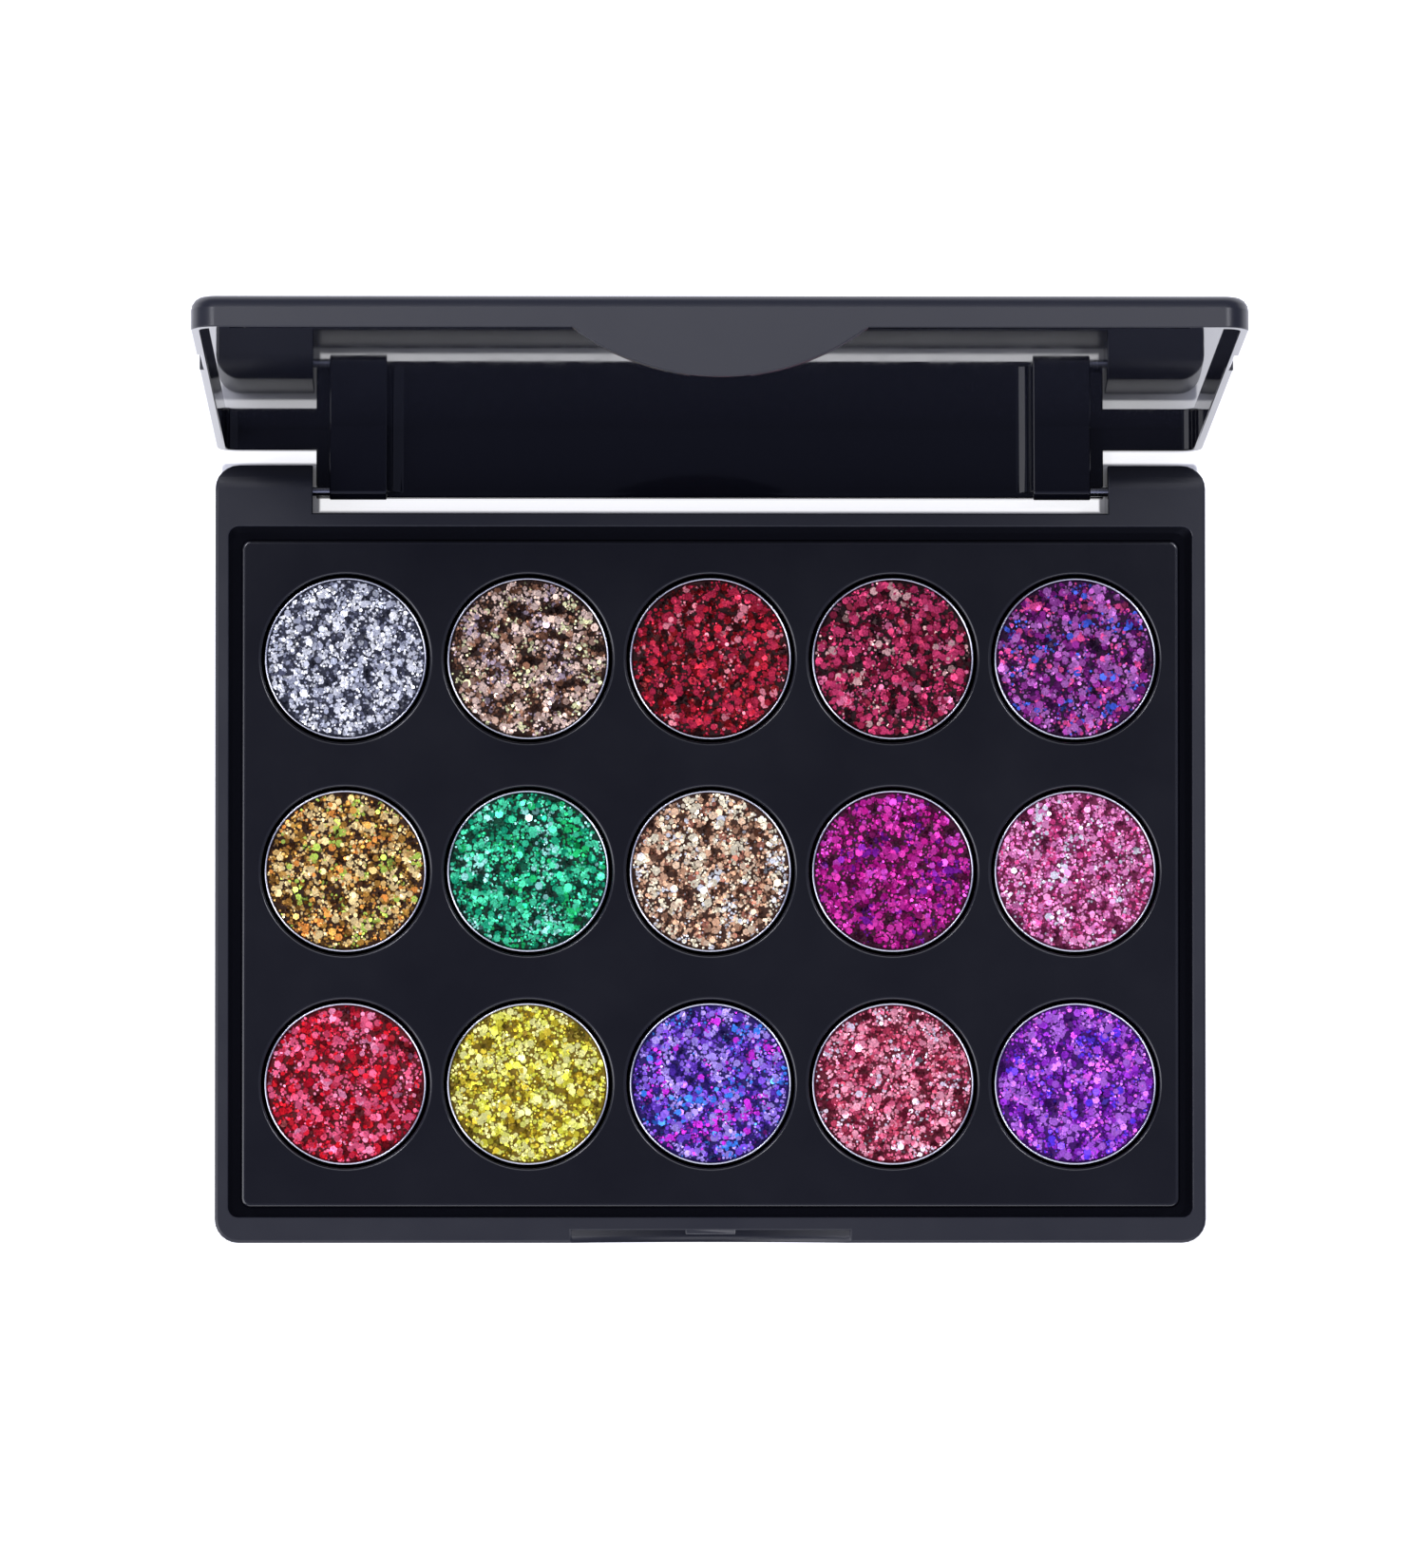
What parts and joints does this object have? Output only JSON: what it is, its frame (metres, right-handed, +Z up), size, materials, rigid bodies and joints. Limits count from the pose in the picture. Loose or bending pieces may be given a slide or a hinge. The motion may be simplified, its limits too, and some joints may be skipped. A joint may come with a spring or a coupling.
{
  "type": "eyeshadow palette",
  "caption": "Flat hinged makeup case standing open, with round pans of pressed glitter eyeshadow set in a drop-in tray.",
  "frame": {"origin": "centre of the base's flat bottom face", "axes": "+X along the hinge to the right, +Y towards the hinge side, +Z up"},
  "size_m": [0.159, 0.1442, 0.1253],
  "materials": {
    "case_plastic": "black moulded ABS, glossy inside, satin outside",
    "tray_plastic": "black moulded polystyrene, satin gloss",
    "steel_pin": "bright drawn steel wire",
    "pan_metal": "bright tinplate",
    "glue": "hot-melt glue",
    "glitter_silver": "pressed glitter flakes in clear gel",
    "glitter_bronze": "pressed glitter flakes in clear gel",
    "glitter_deep_red": "pressed glitter flakes in clear gel",
    "glitter_berry": "pressed glitter flakes in clear gel",
    "glitter_plum": "pressed glitter flakes in clear gel",
    "glitter_gold": "pressed glitter flakes in clear gel",
    "glitter_emerald": "pressed glitter flakes in clear gel",
    "glitter_champagne": "pressed glitter flakes in clear gel",
    "glitter_magenta": "pressed glitter flakes in clear gel",
    "glitter_rose": "pressed glitter flakes in clear gel",
    "glitter_crimson": "pressed glitter flakes in clear gel",
    "glitter_lemon": "pressed glitter flakes in clear gel",
    "glitter_iris": "pressed glitter flakes in clear gel",
    "glitter_coral": "pressed glitter flakes in clear gel",
    "glitter_violet": "pressed glitter flakes in clear gel"
  },
  "bodies": {
    "case": {"base_shell": "case_plastic", "hinge_pin_left": "steel_pin", "hinge_pin_right": "steel_pin", "pan_tray": "tray_plastic", "pan_silver": "pan_metal", "pan_bronze": "pan_metal", "pan_deep_red": "pan_metal", "pan_berry": "pan_metal", "pan_plum": "pan_metal", "pan_gold": "pan_metal", "pan_emerald": "pan_metal", "pan_champagne": "pan_metal", "pan_magenta": "pan_metal", "pan_rose": "pan_metal", "pan_crimson": "pan_metal", "pan_lemon": "pan_metal", "pan_iris": "pan_metal", "pan_coral": "pan_metal", "pan_violet": "pan_metal", "glitter_silver": "glitter_silver", "glitter_bronze": "glitter_bronze", "glitter_deep_red": "glitter_deep_red", "glitter_berry": "glitter_berry", "glitter_plum": "glitter_plum", "glitter_gold": "glitter_gold", "glitter_emerald": "glitter_emerald", "glitter_champagne": "glitter_champagne", "glitter_magenta": "glitter_magenta", "glitter_rose": "glitter_rose", "glitter_crimson": "glitter_crimson", "glitter_lemon": "glitter_lemon", "glitter_iris": "glitter_iris", "glitter_coral": "glitter_coral", "glitter_violet": "glitter_violet", "pan_glue_silver": "glue", "pan_glue_bronze": "glue", "pan_glue_deep_red": "glue", "pan_glue_berry": "glue", "pan_glue_plum": "glue", "pan_glue_gold": "glue", "pan_glue_emerald": "glue", "pan_glue_champagne": "glue", "pan_glue_magenta": "glue", "pan_glue_rose": "glue", "pan_glue_crimson": "glue", "pan_glue_lemon": "glue", "pan_glue_iris": "glue", "pan_glue_coral": "glue", "pan_glue_violet": "glue", "tray_glue_1": "glue", "tray_glue_2": "glue", "tray_glue_3": "glue", "tray_glue_4": "glue"},
    "lid": {"lid_shell": "case_plastic"}
  },
  "joints": [
    {"name": "lid_hinge", "type": "hinge", "parent": "case", "child": "lid", "pos_m": [0, 0.0585, 0.0049], "axis": [1, 0, 0], "range_deg": [0, 95.5]}
  ]
}
